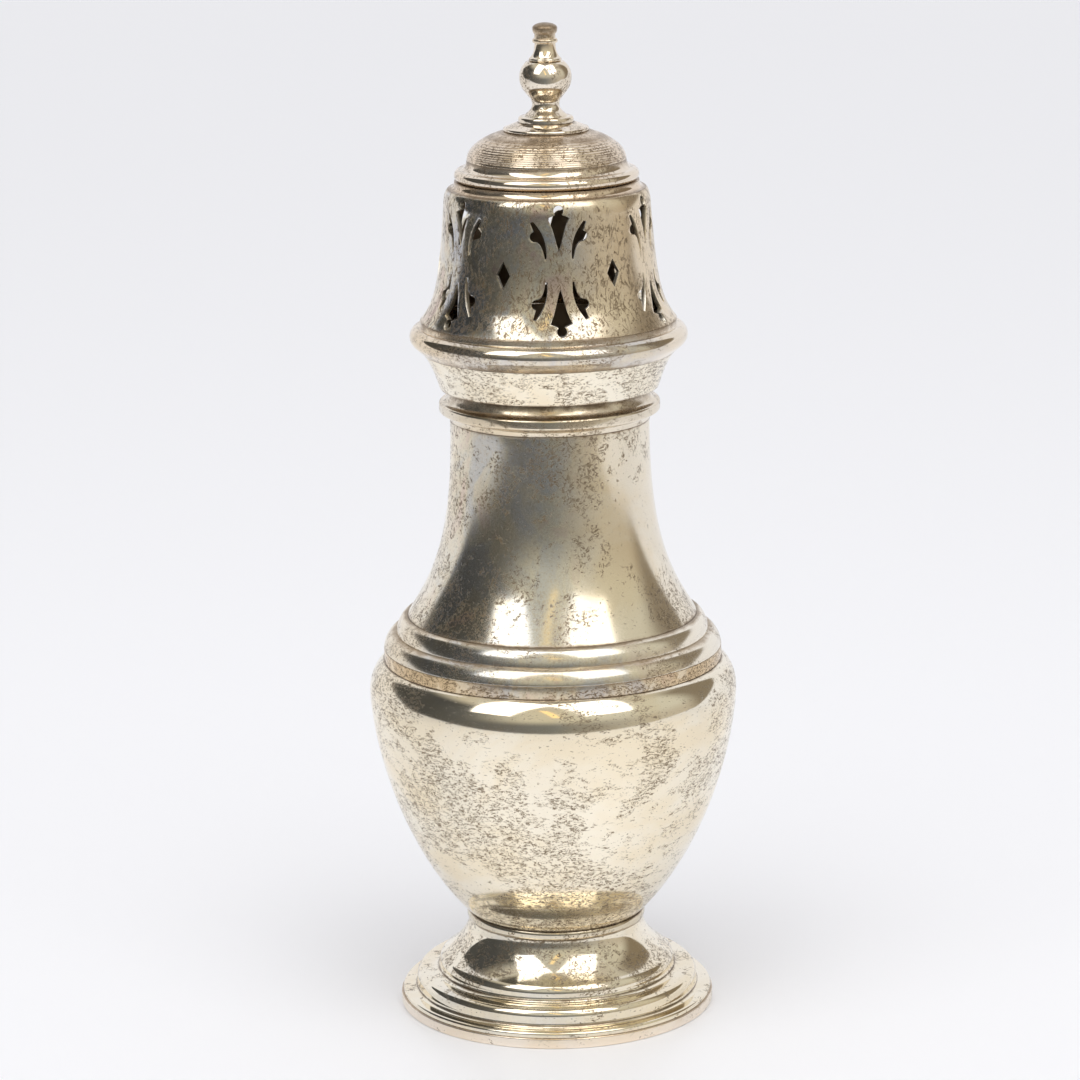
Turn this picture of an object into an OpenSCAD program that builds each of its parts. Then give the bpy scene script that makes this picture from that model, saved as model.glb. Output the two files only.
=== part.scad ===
// Sugar caster of spun and soldered silver sheet: stepped foot, vase body with a
// moulded girdle, and a pierced lift-off cover with a baluster finial.
// Millimetres, +Z up, origin at the centre of the face that it stands on.

/* [Foot] */
// Radius of the wire round the foot
foot_r = 28.75; // [27.5:0.05:34]
// Height of the wire round the foot
foot_wire_h = 1.9; // [1.2:0.1:3]
// Width of the wire round the foot
foot_wire_w = 3.6; // [3:0.1:4.5]
// Setback of the foot's edge from the wire
foot_lip = 0.35; // [0.1:0.05:0.8]
// Radius of the roll at the foot's edge
foot_roll_r = 0.5; // [0.3:0.05:0.8]
// Width of the flat inside the roll
foot_flat = 1.2; // [0.6:0.1:1.8]
// Radius of the cove up to the middle step
foot_cove_r = 0.9; // [0.6:0.1:1.4]
// Height of the middle step's upright side
foot_side_h = 0.9; // [0.4:0.1:1.6]
// Width of the middle step's rounded edge
foot_bead_w = 1.3; // [0.9:0.05:1.8]
// Height of the middle step's rounded edge
foot_bead_h = 1.45; // [1:0.05:2]
// Width of the flat on the middle step
foot_step = 1.8; // [1:0.1:2.6]
// Radius of the cove up to the top step
crest_cove_r = 1.1; // [0.7:0.1:1.6]
// Height of the top step's upright side
crest_side_h = 0.25; // [0.1:0.05:0.8]
// Radius of the top step's round
crest_r = 1.9; // [1.4:0.1:2.4]
// Height of the stem above the top step
stem_h = 6.95; // [5.5:0.05:11]
// Radius of the stem at its narrowest
stem_r = 16; // [13.5:0.1:17]
// Height of the bead between stem and bowl
stem_bead_h = 1.6; // [0.8:0.1:2.2]
// How far the stem bead stands out
stem_bead_out = 0.35; // [0.2:0.05:0.8]

/* [Body] */
// Thickness of the spun sheet
wall = 0.8; // [0.6:0.05:1.1]
// Radius of the body at its widest
belly_r = 33.3; // [31.8:0.1:38]
// Height of the widest ring above the stem bead
belly_rise = 42; // [35:0.1:55]
// Height of the round shoulder above the widest ring
shoulder_h = 5.6; // [4:0.05:7]
// Height of the flat girdle band
band_h = 2.4; // [2:0.05:5]
// Height of the lower girdle wire
lower_wire_h = 2.8; // [2:0.05:4]
// Width of the lower girdle wire, out from the upper one
lower_wire_w = 2.3; // [1.4:0.05:3.2]
// Height of the upper girdle wire
upper_wire_h = 3.05; // [2:0.05:4]
// Width of the upper girdle wire, out from the neck
upper_wire_w = 2.1; // [1.2:0.05:3]
// Radius of the neck at its base
neck_base_r = 26.2; // [25:0.1:27]
// Height of the neck's hollow curve
neck_h = 33.75; // [26:0.05:45]
// Radius of the neck at its narrowest
neck_r = 17.9; // [17:0.05:18.5]
// Height of the straight mouth above the neck
mouth_h = 7.9; // [6:0.1:11]
// How far the mouth ring stands out from the neck
mouth_ring_out = 1.9; // [1.4:0.05:2.6]
// Height of the mouth ring
mouth_ring_h = 5.7; // [4.5:0.1:5.9]

/* [Cover] */
// Radial clearance of the sleeve in the neck and in the cover
sleeve_fit = 0.06; // [0.03:0.01:0.1]
// Thickness of the sleeve
sleeve_wall = 0.7; // [0.5:0.05:1]
// Length of the sleeve below the seat
sleeve_drop = 9.5; // [6:0.1:20]
// Length of the sleeve above the seat
sleeve_rise = 11.9; // [8:0.1:14]
// Gap between the mouth ring and the cover
seat_gap = 0.1; // [0.05:0.05:0.2]
// How far the skirt's lower edge stands out from the neck
skirt_out = 1.7; // [0.9:0.05:2.4]
// Radius of the skirt's upper edge
skirt_top_r = 22.5; // [21.6:0.1:22.9]
// Height of the skirt
skirt_h = 6.4; // [5:0.1:10]
// How far the rim moulding stands out from the skirt
rim_out = 2.35; // [1.9:0.05:4.4]
// Width of the rim's ledge inside the bell
rim_ledge = 0.4; // [0.2:0.05:0.8]
// Radius of the rim moulding's half round
rim_round_r = 1.85; // [1.5:0.05:2.1]
// Height of the fillet under the half round
rim_under_h = 1.05; // [0.6:0.05:1.6]
// Height of the fillet on top of the half round
rim_top_h = 1.0; // [0.5:0.05:1.6]
// How far the bell's lower edge stands out from the skirt
bell_foot_out = 0.4; // [0:0.05:0.8]
// Radius of the bell below its shoulder
bell_r = 18.4; // [18:0.05:19.4]
// Radius of the bell's upper edge
bell_top_r = 17.5; // [17:0.1:17.9]
// Height of the bell
bell_h = 23.6; // [23.4:0.1:32]
// Height of the bell's round shoulder
bell_shoulder_h = 3.1; // [2:0.1:4]
// Radius of the ring under the dome
cap_ring_r = 16.4; // [15.6:0.1:16.9]
// Height of the cove on top of the bell
cap_cove_h = 1.3; // [0.8:0.1:2]
// Height of the ring under the dome
cap_ring_h = 2.1; // [1:0.1:2.4]
// Height of the cove under the dome
dome_cove_h = 1.6; // [1:0.1:2.4]
// Radius of the dome
dome_r = 14.15; // [12.5:0.05:15.2]
// Height that the dome's curve would reach
dome_h = 5.95; // [4.5:0.05:9]

/* [Finial] */
// Radius of the plate under the finial
plate_r = 7.6; // [6.4:0.1:9]
// Height of the plate's edge
plate_edge_h = 0.6; // [0.3:0.1:1]
// Rise of the plate above its edge
plate_rise = 1; // [0.5:0.05:1.5]
// Radius of the finial's base
finial_base_r = 4.9; // [4.4:0.1:6]
// Height of the finial's base edge
finial_base_h = 1; // [0.5:0.1:1.4]
// Radius of the finial's lower neck
finial_neck_r = 2.4; // [1.8:0.05:3]
// Height from the base edge up to the lower neck
finial_flare_h = 2.1; // [1.6:0.1:5]
// Radius of the finial's ball
ball_r = 4.64; // [4.3:0.02:5.4]
// Height from the lower neck to the ball's middle
ball_rise = 4.75; // [4:0.05:6.5]
// Height that the ball's upper curve would reach
ball_crown = 3.95; // [3.3:0.05:4.8]
// Ledge on the ball round the collar
collar_ledge = 0.45; // [0.2:0.05:0.8]
// Radius of the collar on the ball
collar_r = 2.9; // [2.4:0.05:3.4]
// Height of the collar's ring
collar_h = 0.7; // [0.4:0.05:1]
// Radius of the finial's upper neck
tip_neck_r = 1.85; // [1.4:0.05:2]
// Height of the upper neck
tip_neck_h = 2.5; // [1.6:0.05:4]
// Radius of the ring on the upper neck
tip_ring_r = 2.25; // [2.05:0.05:2.6]
// Height of the ring on the upper neck
tip_ring_h = 0.9; // [0.6:0.05:1.4]
// Height of the groove under the button
tip_groove_h = 0.75; // [0.5:0.05:1.4]
// Radius of the button on top
button_r = 2.2; // [2.05:0.05:2.8]
// Height of the button on top
button_h = 1.95; // [1.4:0.05:3]
// Radius of the peg that holds the finial
peg_r = 1.5; // [1:0.1:2]

/* [Piercing] */
// Number of pierced motifs round the bell
motif_count = 6; // [4:1:6]
// Turn of the first motif from the front
motif_turn = 6; // [-30:1:30]
// Height of the motif's middle above the bell's foot
motif_rise = 11.7; // [11.6:0.1:12.2]
// Distance from the motif's middle to the centre leaf's point
leaf_point = 3.2; // [2.6:0.1:4]
// Distance from the motif's middle to the centre leaf's shoulders
leaf_shoulder = 9.05; // [8.4:0.05:9.2]
// Half width of the centre leaf at its shoulders
leaf_w = 1.95; // [1.4:0.05:2.1]
// Radius of the centre leaf's lobe
leaf_lobe_r = 0.88; // [0.6:0.02:0.9]
// Distance from the motif's middle to the lobe's centre
leaf_lobe = 10.3; // [10.1:0.05:10.4]
// Distance from the motif's axis to the side leaf's root
side_root_x = 2.35; // [2.2:0.05:2.8]
// Distance from the motif's middle to the side leaf's root
side_root = 1.95; // [1.6:0.05:2.6]
// Distance from the motif's axis to the side leaf's tip
side_tip_x = 4.65; // [4.2:0.05:5]
// Distance from the motif's middle to the side leaf's tip
side_tip = 8.5; // [7.8:0.1:9]
// Distance from the motif's axis to the side lobe's centre
side_lobe_x = 4.1; // [4:0.1:4.6]
// Distance from the motif's middle to the side lobe's centre
side_lobe = 5.85; // [5.2:0.05:6]
// Radius of the side lobe
side_lobe_r = 0.92; // [0.5:0.02:1]
// How far the diamonds sit below the motifs' middle
diamond_drop = 1; // [0:0.1:1.5]
// Half height of the diamonds between the motifs
diamond_h = 2.45; // [1.6:0.05:3]
// Half width of the diamonds between the motifs
diamond_w = 1.3; // [0.8:0.05:1.6]

/* [Hidden] */

// Segments of a round stretch, of a long curve, and of a full turn
arc_steps = 6;
curve_steps = 10;
turn_steps = 96;
leaf_steps = 4;
// Quarter turns, as seen in the half section
quarter = 90;
out = 0;
up = quarter;
in = 2 * quarter;
down = 3 * quarter;

// Levels of the foot, from the table up
foot_z = foot_wire_h;
roll_top = [foot_r - foot_lip - foot_roll_r, foot_z + 2 * foot_roll_r];
cove_start = roll_top - [foot_flat, 0];
side_low = cove_start + [-foot_cove_r, foot_cove_r];
side_top = side_low + [0, foot_side_h];
bead_top = side_top + [-foot_bead_w, foot_bead_h];
step_end = bead_top - [foot_step, 0];
crest_low = step_end + [-crest_cove_r, crest_cove_r];
crest_side = crest_low + [0, crest_side_h];
crest_c = crest_side - [crest_r, 0];
// Angle at which the top step's round gives way to the stem
crest_end_a = 55;
stem_foot = crest_c + crest_r * [cos(crest_end_a), sin(crest_end_a)];
stem_top = [stem_r, stem_foot.y + stem_h];
// Levels of the body
bowl_z = stem_top.y + stem_bead_h;
belly_z = bowl_z + belly_rise;
band_z = belly_z + shoulder_h;
wire_z = band_z + band_h;
upper_wire_z = wire_z + lower_wire_h;
neck_z = upper_wire_z + upper_wire_h;
mouth_z = neck_z + neck_h;
lip_z = mouth_z + mouth_h;
// Levels of the cover
seat_z = lip_z + seat_gap;
rim_z = seat_z + skirt_h;
round_z = rim_z + rim_under_h + rim_round_r;
bell_z = round_z + rim_round_r + rim_top_h;
cap_z = bell_z + bell_h;
cap_ring_z = cap_z + cap_cove_h;
dome_cove_z = cap_ring_z + cap_ring_h;
dome_z = dome_cove_z + dome_cove_h;
// The dome is flattened under the plate
plate_z = dome_z + dome_h * sqrt(1 - pow(plate_r / dome_r, 2));
finial_z = plate_z + plate_edge_h + plate_rise;

// Radii of the girdle, from the neck out
wire_crease_r = neck_base_r + upper_wire_w;
band_r = wire_crease_r + lower_wire_w;
// Radii of the cover's lower edge, of its rim and of the bell on it
skirt_r = neck_r + skirt_out;
rim_r = skirt_top_r + rim_out;
bell_foot_r = skirt_top_r + bell_foot_out;

// Bores that mating pieces share
neck_bore_r = neck_r - wall;
sleeve_r = neck_bore_r - sleeve_fit;
skirt_bore_r = sleeve_r + sleeve_fit;
rim_bore_r = skirt_top_r - wall;
rim_ledge_r = bell_foot_r - wall - rim_ledge;
cap_bore_r = dome_r - wall;
band_bore_r = neck_base_r - wall;
stem_bore_r = stem_top.x - wall;

// Handles of the long curves, as shares of the curve's own span
stem_in = 0.32;
stem_lean = 0.04;
stem_up = 0.46;
bowl_lean = 0.787;
bowl_lift = 0.333;
belly_lift = 0.84;
neck_lean = 0.5;
neck_lift = 0.195;
neck_top_lift = 0.39;
bell_lean = 0.646;
bell_lift = 0.171;
bell_top_lean = 0.216;
bell_top_lift = 0.36;
bell_edge_lean = 0.6;
bell_edge_lift = 0.12;
skirt_lean = 0.22;
skirt_low = 0.28;
skirt_bend = 0.4;
skirt_high = 0.62;
flare_spread = 1.375;
flare_low = 0.35;
flare_high = 0.5;
ball_low = 0.3;
ball_high = 0.55;
tip_lean = 0.5;
tip_low = 0.14;
tip_high = 0.45;
// Angle at which the shoulder's ellipse meets the girdle band
shoulder_edge = 64.5;
// Angles at which the girdle wires' rounds start, and at which the rim's round meets the slope under it
wire_lean_a = 16;
rim_slope_a = 50;
// Angle at which the collar's round gives way to the upper neck
collar_end_a = 50;
// Share of the mouth ring's reach that its coves take, and of its height that the upper one takes
mouth_cove = 0.75;
mouth_cove_up = 0.41;
// Edges of the pierced leaves: bows as shares of the leaf, tips in millimetres, lobes as angles
leaf_bow = 0.37;
leaf_near = 0.4;
leaf_far = 0.6;
leaf_lobe_from = -50;
side_near = [-0.08, 1.2];
side_far = [0.95, 1];
side_under = [0.45, 0.1];
side_back = [0.15, 0.7];
side_lobe_from = 75;
side_lobe_to = -95;
root_half = [0.14, 0];
tip_half = [0.25, 0];
tip_end = [0.25, -0.2];

silver = [0.80, 0.77, 0.70];
dull_silver = [0.66, 0.61, 0.52];
bright_silver = [0.88, 0.85, 0.79];

// Points of an elliptic arc about c, from angle a to angle b
function ellipse_arc(c, r, a, b) =
    [for (i = [0:arc_steps])
        let (t = a + (b - a) * i / arc_steps)
        c + [r.x * cos(t), r.y * sin(t)]];

// Points of a round arc about c
function round_arc(c, r, a, b) = ellipse_arc(c, [r, r], a, b);

// Points of a cubic curve with two handles
function curve(p, q, r, s, n = curve_steps) =
    [for (i = [0:n])
        let (t = i / n, u = 1 - t)
        u * u * u * p + 3 * u * u * t * q + 3 * u * t * t * r + t * t * t * s];

// Outward normal of a half section that runs upwards
function outward(p, i) =
    let (a = p[max(i - 1, 0)], b = p[min(i + 1, len(p) - 1)], d = b - a)
    [d.y, -d.x] / norm(d);

// The same half section moved inwards by t, from its top to its bottom, with level ends
function inner_face(p, t) =
    [for (i = [len(p) - 1:-1:0])
        let (n = outward(p, i), end = i == 0 || i == len(p) - 1)
        [p[i].x - t * (end ? 1 : n.x), p[i].y - t * (end ? 0 : n.y)]];

// A turned piece from its half section
module turned(section) {
    rotate_extrude($fn = turn_steps)
        polygon(section);
}

// A spun sheet of even thickness from its outer half section
module spun(outer_face) {
    turned(concat(outer_face, inner_face(outer_face, wall)));
}

module foot_wire() {
    color(bright_silver)
        turned([[foot_r - foot_wire_w, 0], [foot_r, 0], [foot_r, foot_z], [foot_r - foot_wire_w, foot_z]]);
}

module foot() {
    outer_steps = concat(
        [[roll_top.x + foot_roll_r, foot_z]],
        round_arc(roll_top - [0, foot_roll_r], foot_roll_r, out, up),
        round_arc(cove_start + [0, foot_cove_r], foot_cove_r, down, in),
        ellipse_arc([bead_top.x, side_top.y], [foot_bead_w, foot_bead_h], out, up),
        round_arc(step_end + [0, crest_cove_r], crest_cove_r, down, in));
    stem_span = stem_top - stem_foot;
    stem_slope = stem_h * stem_in * [-sin(crest_end_a), cos(crest_end_a)];
    stem = concat(round_arc(crest_c, crest_r, out, crest_end_a),
                  curve(stem_foot, stem_foot + stem_slope,
                        stem_top + [-stem_span.x * stem_lean, -stem_span.y * stem_up], stem_top));
    inner_steps = [[crest_low.x - wall, step_end.y - wall], [bead_top.x - wall, step_end.y - wall],
                   side_top - [wall, 0], [side_low.x - wall, foot_z]];
    color(silver)
        turned(concat(outer_steps, stem, inner_face(stem, wall), inner_steps));
}

module stem_bead() {
    bead_c = [stem_top.x, stem_top.y + stem_bead_h / 2];
    color(bright_silver)
        turned(concat([[stem_bore_r, stem_top.y]],
                      ellipse_arc(bead_c, [stem_bead_out, stem_bead_h / 2], -up, up),
                      [[stem_bore_r, bowl_z]]));
}

module bowl() {
    low = [stem_top.x, bowl_z];
    belly = [belly_r, belly_z];
    span = belly - low;
    flank = curve(low, low + [span.x * bowl_lean, span.y * bowl_lift],
                  belly - [0, span.y * (1 - belly_lift)], belly);
    shoulder_in = (belly_r - band_r) / (1 - cos(shoulder_edge));
    shoulder_up = shoulder_h / sin(shoulder_edge);
    shoulder = ellipse_arc(belly - [shoulder_in, 0], [shoulder_in, shoulder_up], 0, shoulder_edge);
    outer_face = concat(flank, [for (i = [1:arc_steps]) shoulder[i]]);
    inside = inner_face(outer_face, wall);
    last = len(inside) - 1;
    color(silver)
        turned(concat([[0, bowl_z]], outer_face,
                      [for (i = [0:last - 1]) if (inside[i].y > bowl_z + wall) inside[i]],
                      [[low.x - wall, bowl_z + wall], [0, bowl_z + wall]]));
}

module girdle_band() {
    color(dull_silver)
        turned([[band_r - wall, band_z], [band_r, band_z], [band_r, wire_z], [band_bore_r, wire_z],
                [band_bore_r, wire_z - wall], [band_r - wall, wire_z - wall]]);
}

// A round wire that leans in from the ledge below it and closes on the neck
module girdle_wire(z, h, low_r, high_r) {
    reach = [(low_r - high_r) / cos(wire_lean_a), h / (1 - sin(wire_lean_a))];
    turned(concat([[neck_base_r, z]],
                  ellipse_arc([high_r, z + h - reach.y], reach, wire_lean_a, up),
                  high_r > neck_base_r ? [[neck_base_r, z + h]] : []));
}

module lower_girdle_wire() {
    color(bright_silver)
        girdle_wire(wire_z, lower_wire_h, band_r, wire_crease_r);
}

module upper_girdle_wire() {
    color(bright_silver)
        girdle_wire(upper_wire_z, upper_wire_h, wire_crease_r, neck_base_r);
}

module neck() {
    base = [neck_base_r, neck_z];
    throat = [neck_r, mouth_z];
    span = throat - base;
    hollow = curve(base, base + [span.x * neck_lean, span.y * neck_lift],
                   throat - [0, span.y * (1 - neck_top_lift)], throat);
    color(silver)
        spun(concat([[neck_base_r, wire_z]], hollow, [[neck_r, lip_z]]));
}

module mouth_ring() {
    low_z = lip_z - mouth_ring_h;
    ring_r = neck_r + mouth_ring_out;
    cove_r = mouth_ring_out * mouth_cove;
    cove_up = mouth_ring_h * mouth_cove_up;
    edge_r = mouth_ring_out - cove_r;
    color(bright_silver)
        turned(concat([[neck_r, low_z]],
                      round_arc([neck_r + cove_r, low_z], cove_r, in, up),
                      round_arc([ring_r - edge_r, low_z + cove_r + edge_r], edge_r, -up, out),
                      round_arc([ring_r - edge_r, lip_z - cove_up - edge_r], edge_r, out, up),
                      ellipse_arc([neck_r + cove_r, lip_z], [cove_r, cove_up], down, in)));
}

module cover_sleeve() {
    color(dull_silver)
        turned([[sleeve_r - sleeve_wall, seat_z - sleeve_drop], [sleeve_r, seat_z - sleeve_drop],
                [sleeve_r, seat_z + sleeve_rise], [sleeve_r - sleeve_wall, seat_z + sleeve_rise]]);
}

module cover_skirt() {
    low = [skirt_r, seat_z];
    high = [skirt_top_r, rim_z];
    span = high - low;
    flare = curve(low, low + [span.x * skirt_lean, span.y * skirt_low],
                  low + [span.x * skirt_bend, span.y * skirt_high], high);
    inside = inner_face(flare, wall);
    last = len(inside) - 1;
    color(silver)
        turned(concat([[skirt_bore_r, seat_z]], flare,
                      [for (i = [0:last - 1]) if (inside[i].y > seat_z + wall) inside[i]],
                      [[skirt_r - wall, seat_z + wall], [skirt_bore_r, seat_z + wall]]));
}

module cover_rim() {
    round_c = [rim_r - rim_round_r, round_z];
    color(bright_silver)
        turned(concat([[rim_bore_r, rim_z], [skirt_top_r, rim_z]],
                      round_arc(round_c, rim_round_r, -rim_slope_a, up),
                      [[bell_foot_r, bell_z], [rim_ledge_r, bell_z]]));
}

// Outline of the leaf on the motif's axis, point down and lobe up
module centre_leaf() {
    point = [0, leaf_point];
    shoulder = [leaf_w, leaf_shoulder];
    bow = (leaf_shoulder - leaf_point) * leaf_bow;
    edge = curve(point, point + [leaf_w * leaf_near, bow],
                 shoulder - [leaf_w * leaf_far, bow], shoulder, arc_steps);
    lobe = round_arc([0, leaf_lobe], leaf_lobe_r, leaf_lobe_from, up);
    right = concat(edge, lobe);
    polygon(concat(right, [for (i = [len(right) - 2:-1:1]) [-right[i].x, right[i].y]]));
}

// Outline of the curled leaf beside it
module side_leaf() {
    root = [side_root_x, side_root];
    tip = [side_tip_x, side_tip];
    lobe_c = [side_lobe_x, side_lobe];
    bow = (side_tip - side_root) / 3;
    inner_root = root - root_half;
    outer_root = root + root_half;
    inner_edge = curve(inner_root, inner_root + bow * side_near,
                       tip - bow * side_far, tip - tip_half, arc_steps);
    lobe = round_arc(lobe_c, side_lobe_r, side_lobe_from, side_lobe_to);
    under = lobe[arc_steps];
    outer_edge = curve(under, under - bow * side_under, outer_root + bow * side_back, outer_root, leaf_steps);
    polygon(concat(inner_edge, [tip + tip_end], lobe, [for (i = [1:leaf_steps]) outer_edge[i]]));
}

// One motif: a spray of three leaves and the same spray upside down
module motif() {
    for (flip = [0, 1])
        mirror([0, flip]) {
            centre_leaf();
            for (side = [0, 1])
                mirror([side, 0])
                    side_leaf();
        }
}

module diamond() {
    polygon([[0, -diamond_h], [diamond_w, 0], [0, diamond_h], [-diamond_w, 0]]);
}

// Cuts a flat outline through the bell from its axis: angle a from the front, rise above the bell's foot
module pierce(a, rise) {
    rotate([0, 0, a - quarter])
        translate([bell_top_r / 2, 0, bell_z + rise])
            rotate([quarter, 0, quarter])
                linear_extrude(height = rim_r)
                    children();
}

module pierced_bell() {
    foot = [bell_foot_r, bell_z];
    top = [bell_top_r, cap_z];
    waist = [bell_r, cap_z - bell_shoulder_h];
    span = waist - foot;
    side = curve(foot, foot + [span.x * bell_lean, span.y * bell_lift],
                 waist - [span.x * bell_top_lean, span.y * (1 - bell_top_lift)], waist);
    shoulder = curve(waist, waist + [0, bell_shoulder_h / 2],
                     top + [(bell_r - bell_top_r) * bell_edge_lean, -bell_shoulder_h * bell_edge_lift],
                     top, arc_steps);
    pitch = 4 * quarter / motif_count;
    color(silver)
        difference() {
            spun(concat(side, [for (i = [1:arc_steps]) shoulder[i]]));
            for (i = [0:motif_count - 1]) {
                pierce(motif_turn + i * pitch, motif_rise)
                    motif();
                pierce(motif_turn + i * pitch + pitch / 2, motif_rise - diamond_drop)
                    diamond();
            }
        }
}

module cap_ring() {
    cove_w = bell_top_r - cap_ring_r;
    color(bright_silver)
        turned(concat([[cap_bore_r, cap_z]],
                      ellipse_arc([bell_top_r, cap_ring_z], [cove_w, cap_cove_h], down, in),
                      [[cap_bore_r, cap_ring_z]]));
}

module dome_ring() {
    round_r = cap_ring_h / 2;
    cove_start = cap_ring_r - round_r;
    color(bright_silver)
        turned(concat([[cap_bore_r, cap_ring_z]],
                      round_arc([cove_start, cap_ring_z + round_r], round_r, -up, up),
                      ellipse_arc([cove_start, dome_z], [cove_start - dome_r, dome_cove_h], down, in),
                      [[cap_bore_r, dome_z]]));
}

module dome() {
    flat_a = acos(plate_r / dome_r);
    inner_r = dome_r - wall;
    inner_h = (plate_z - wall - dome_z) / sqrt(1 - pow(plate_r / inner_r, 2));
    color(silver)
        turned(concat(ellipse_arc([0, dome_z], [dome_r, dome_h], 0, flat_a),
                      [[peg_r, plate_z], [peg_r, plate_z - wall]],
                      ellipse_arc([0, dome_z], [inner_r, inner_h], acos(plate_r / inner_r), 0)));
}

module finial_plate() {
    color(bright_silver)
        turned([[peg_r, plate_z], [plate_r, plate_z], [plate_r, plate_z + plate_edge_h],
                [finial_base_r, finial_z], [peg_r, finial_z]]);
}

module finial() {
    base_round = finial_base_h / 2;
    base_top = [finial_base_r - finial_base_h, finial_z + finial_base_h];
    low_neck = [finial_neck_r, base_top.y + finial_flare_h];
    ball = [ball_r, low_neck.y + ball_rise];
    collar_a = acos((collar_r + collar_ledge) / ball_r);
    collar_round = collar_h / 2;
    collar_z = ball.y + ball_crown * sin(collar_a);
    collar = round_arc([collar_r - collar_round, collar_z + collar_round], collar_round, -up, collar_end_a);
    collar_end = collar[arc_steps];
    ring_z = collar_z + collar_h + tip_neck_h;
    tip_span = [tip_neck_r, ring_z] - collar_end;
    groove_z = ring_z + tip_ring_h;
    button_z = groove_z + tip_groove_h;
    button_mid = button_z + button_h / 2;
    color(bright_silver)
        turned(concat(
            [[0, plate_z - wall], [peg_r, plate_z - wall], [peg_r, finial_z], [finial_base_r, finial_z]],
            round_arc([finial_base_r - base_round, finial_z + base_round], base_round, out, up),
            curve(base_top, [finial_neck_r * flare_spread, base_top.y + finial_flare_h * flare_low],
                  low_neck - [0, finial_flare_h * flare_high], low_neck),
            curve(low_neck, low_neck + [0, ball_rise * ball_low], ball - [0, ball_rise * ball_high], ball),
            ellipse_arc([0, ball.y], [ball_r, ball_crown], out, collar_a),
            collar,
            curve(collar_end, collar_end + [tip_span.x * tip_lean, tip_span.y * tip_low],
                  [tip_neck_r, collar_end.y + tip_span.y * tip_high], [tip_neck_r, ring_z]),
            ellipse_arc([tip_neck_r, ring_z + tip_ring_h / 2],
                        [tip_ring_r - tip_neck_r, tip_ring_h / 2], -up, up),
            ellipse_arc([tip_neck_r, button_mid], [button_r - tip_neck_r, button_h / 2], -up, out),
            ellipse_arc([0, button_mid], [button_r, button_h / 2], out, up)));
}

foot_wire();
foot();
stem_bead();
bowl();
girdle_band();
lower_girdle_wire();
upper_girdle_wire();
neck();
mouth_ring();
cover_sleeve();
cover_skirt();
cover_rim();
pierced_bell();
cap_ring();
dome_ring();
dome();
finial_plate();
finial();
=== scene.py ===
import math

import bpy
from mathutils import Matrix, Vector


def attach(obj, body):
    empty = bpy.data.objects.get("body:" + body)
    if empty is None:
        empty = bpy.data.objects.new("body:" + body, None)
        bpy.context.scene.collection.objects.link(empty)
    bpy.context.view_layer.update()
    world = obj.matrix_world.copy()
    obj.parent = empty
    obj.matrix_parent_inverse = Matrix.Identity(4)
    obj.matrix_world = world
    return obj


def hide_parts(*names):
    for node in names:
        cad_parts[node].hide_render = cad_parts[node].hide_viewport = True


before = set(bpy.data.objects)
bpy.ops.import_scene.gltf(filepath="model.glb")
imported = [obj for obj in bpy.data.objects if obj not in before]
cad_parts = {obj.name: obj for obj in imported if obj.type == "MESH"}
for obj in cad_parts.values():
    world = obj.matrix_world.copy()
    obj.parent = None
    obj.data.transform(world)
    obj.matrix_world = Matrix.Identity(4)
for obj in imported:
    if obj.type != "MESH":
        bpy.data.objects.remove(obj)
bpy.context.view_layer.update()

mm = 0.001  # sizes of the pieces are in millimetres
sameSpot = 0.004  # points of an outline this close are one point
mergeGap = 0.002  # and so are vertices this close
smoothAngle = math.radians(34)
noCrease = -5  # a height below every piece
print("frame loaded:", len(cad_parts), "nodes")


# shared helpers for outlines, as (radius, height) in millimetres
def arcPoints(centre, radii, start, end, steps=10):
    points = []
    for i in range(steps + 1):
        a = math.radians(start + (end - start) * i / steps)
        points.append((centre[0] + radii[0] * math.cos(a), centre[1] + radii[1] * math.sin(a)))
    return points


def curvePoints(p, q, r, s, steps=26):
    points = []
    for i in range(steps + 1):
        t = i / steps
        u = 1 - t
        points.append(tuple(u * u * u * p[k] + 3 * u * u * t * q[k] +
                            3 * u * t * t * r[k] + t * t * t * s[k] for k in (0, 1)))
    return points


def innerFace(points, wall):
    # the same line moved inwards, from its top to its bottom, with level ends
    inside = []
    last = len(points) - 1
    for i in range(last, -1, -1):
        a, b = points[max(i - 1, 0)], points[min(i + 1, last)]
        along = math.hypot(b[0] - a[0], b[1] - a[1])
        out, up = (b[1] - a[1]) / along, (a[0] - b[0]) / along
        if i in (0, last):
            out, up = 1, 0
        inside.append((points[i][0] - wall * out, points[i][1] - wall * up))
    return inside


def dropRepeats(points):
    kept = [points[0]]
    for p in points[1:]:
        if math.hypot(p[0] - kept[-1][0], p[1] - kept[-1][1]) > sameSpot:
            kept.append(p)
    return kept


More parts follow.
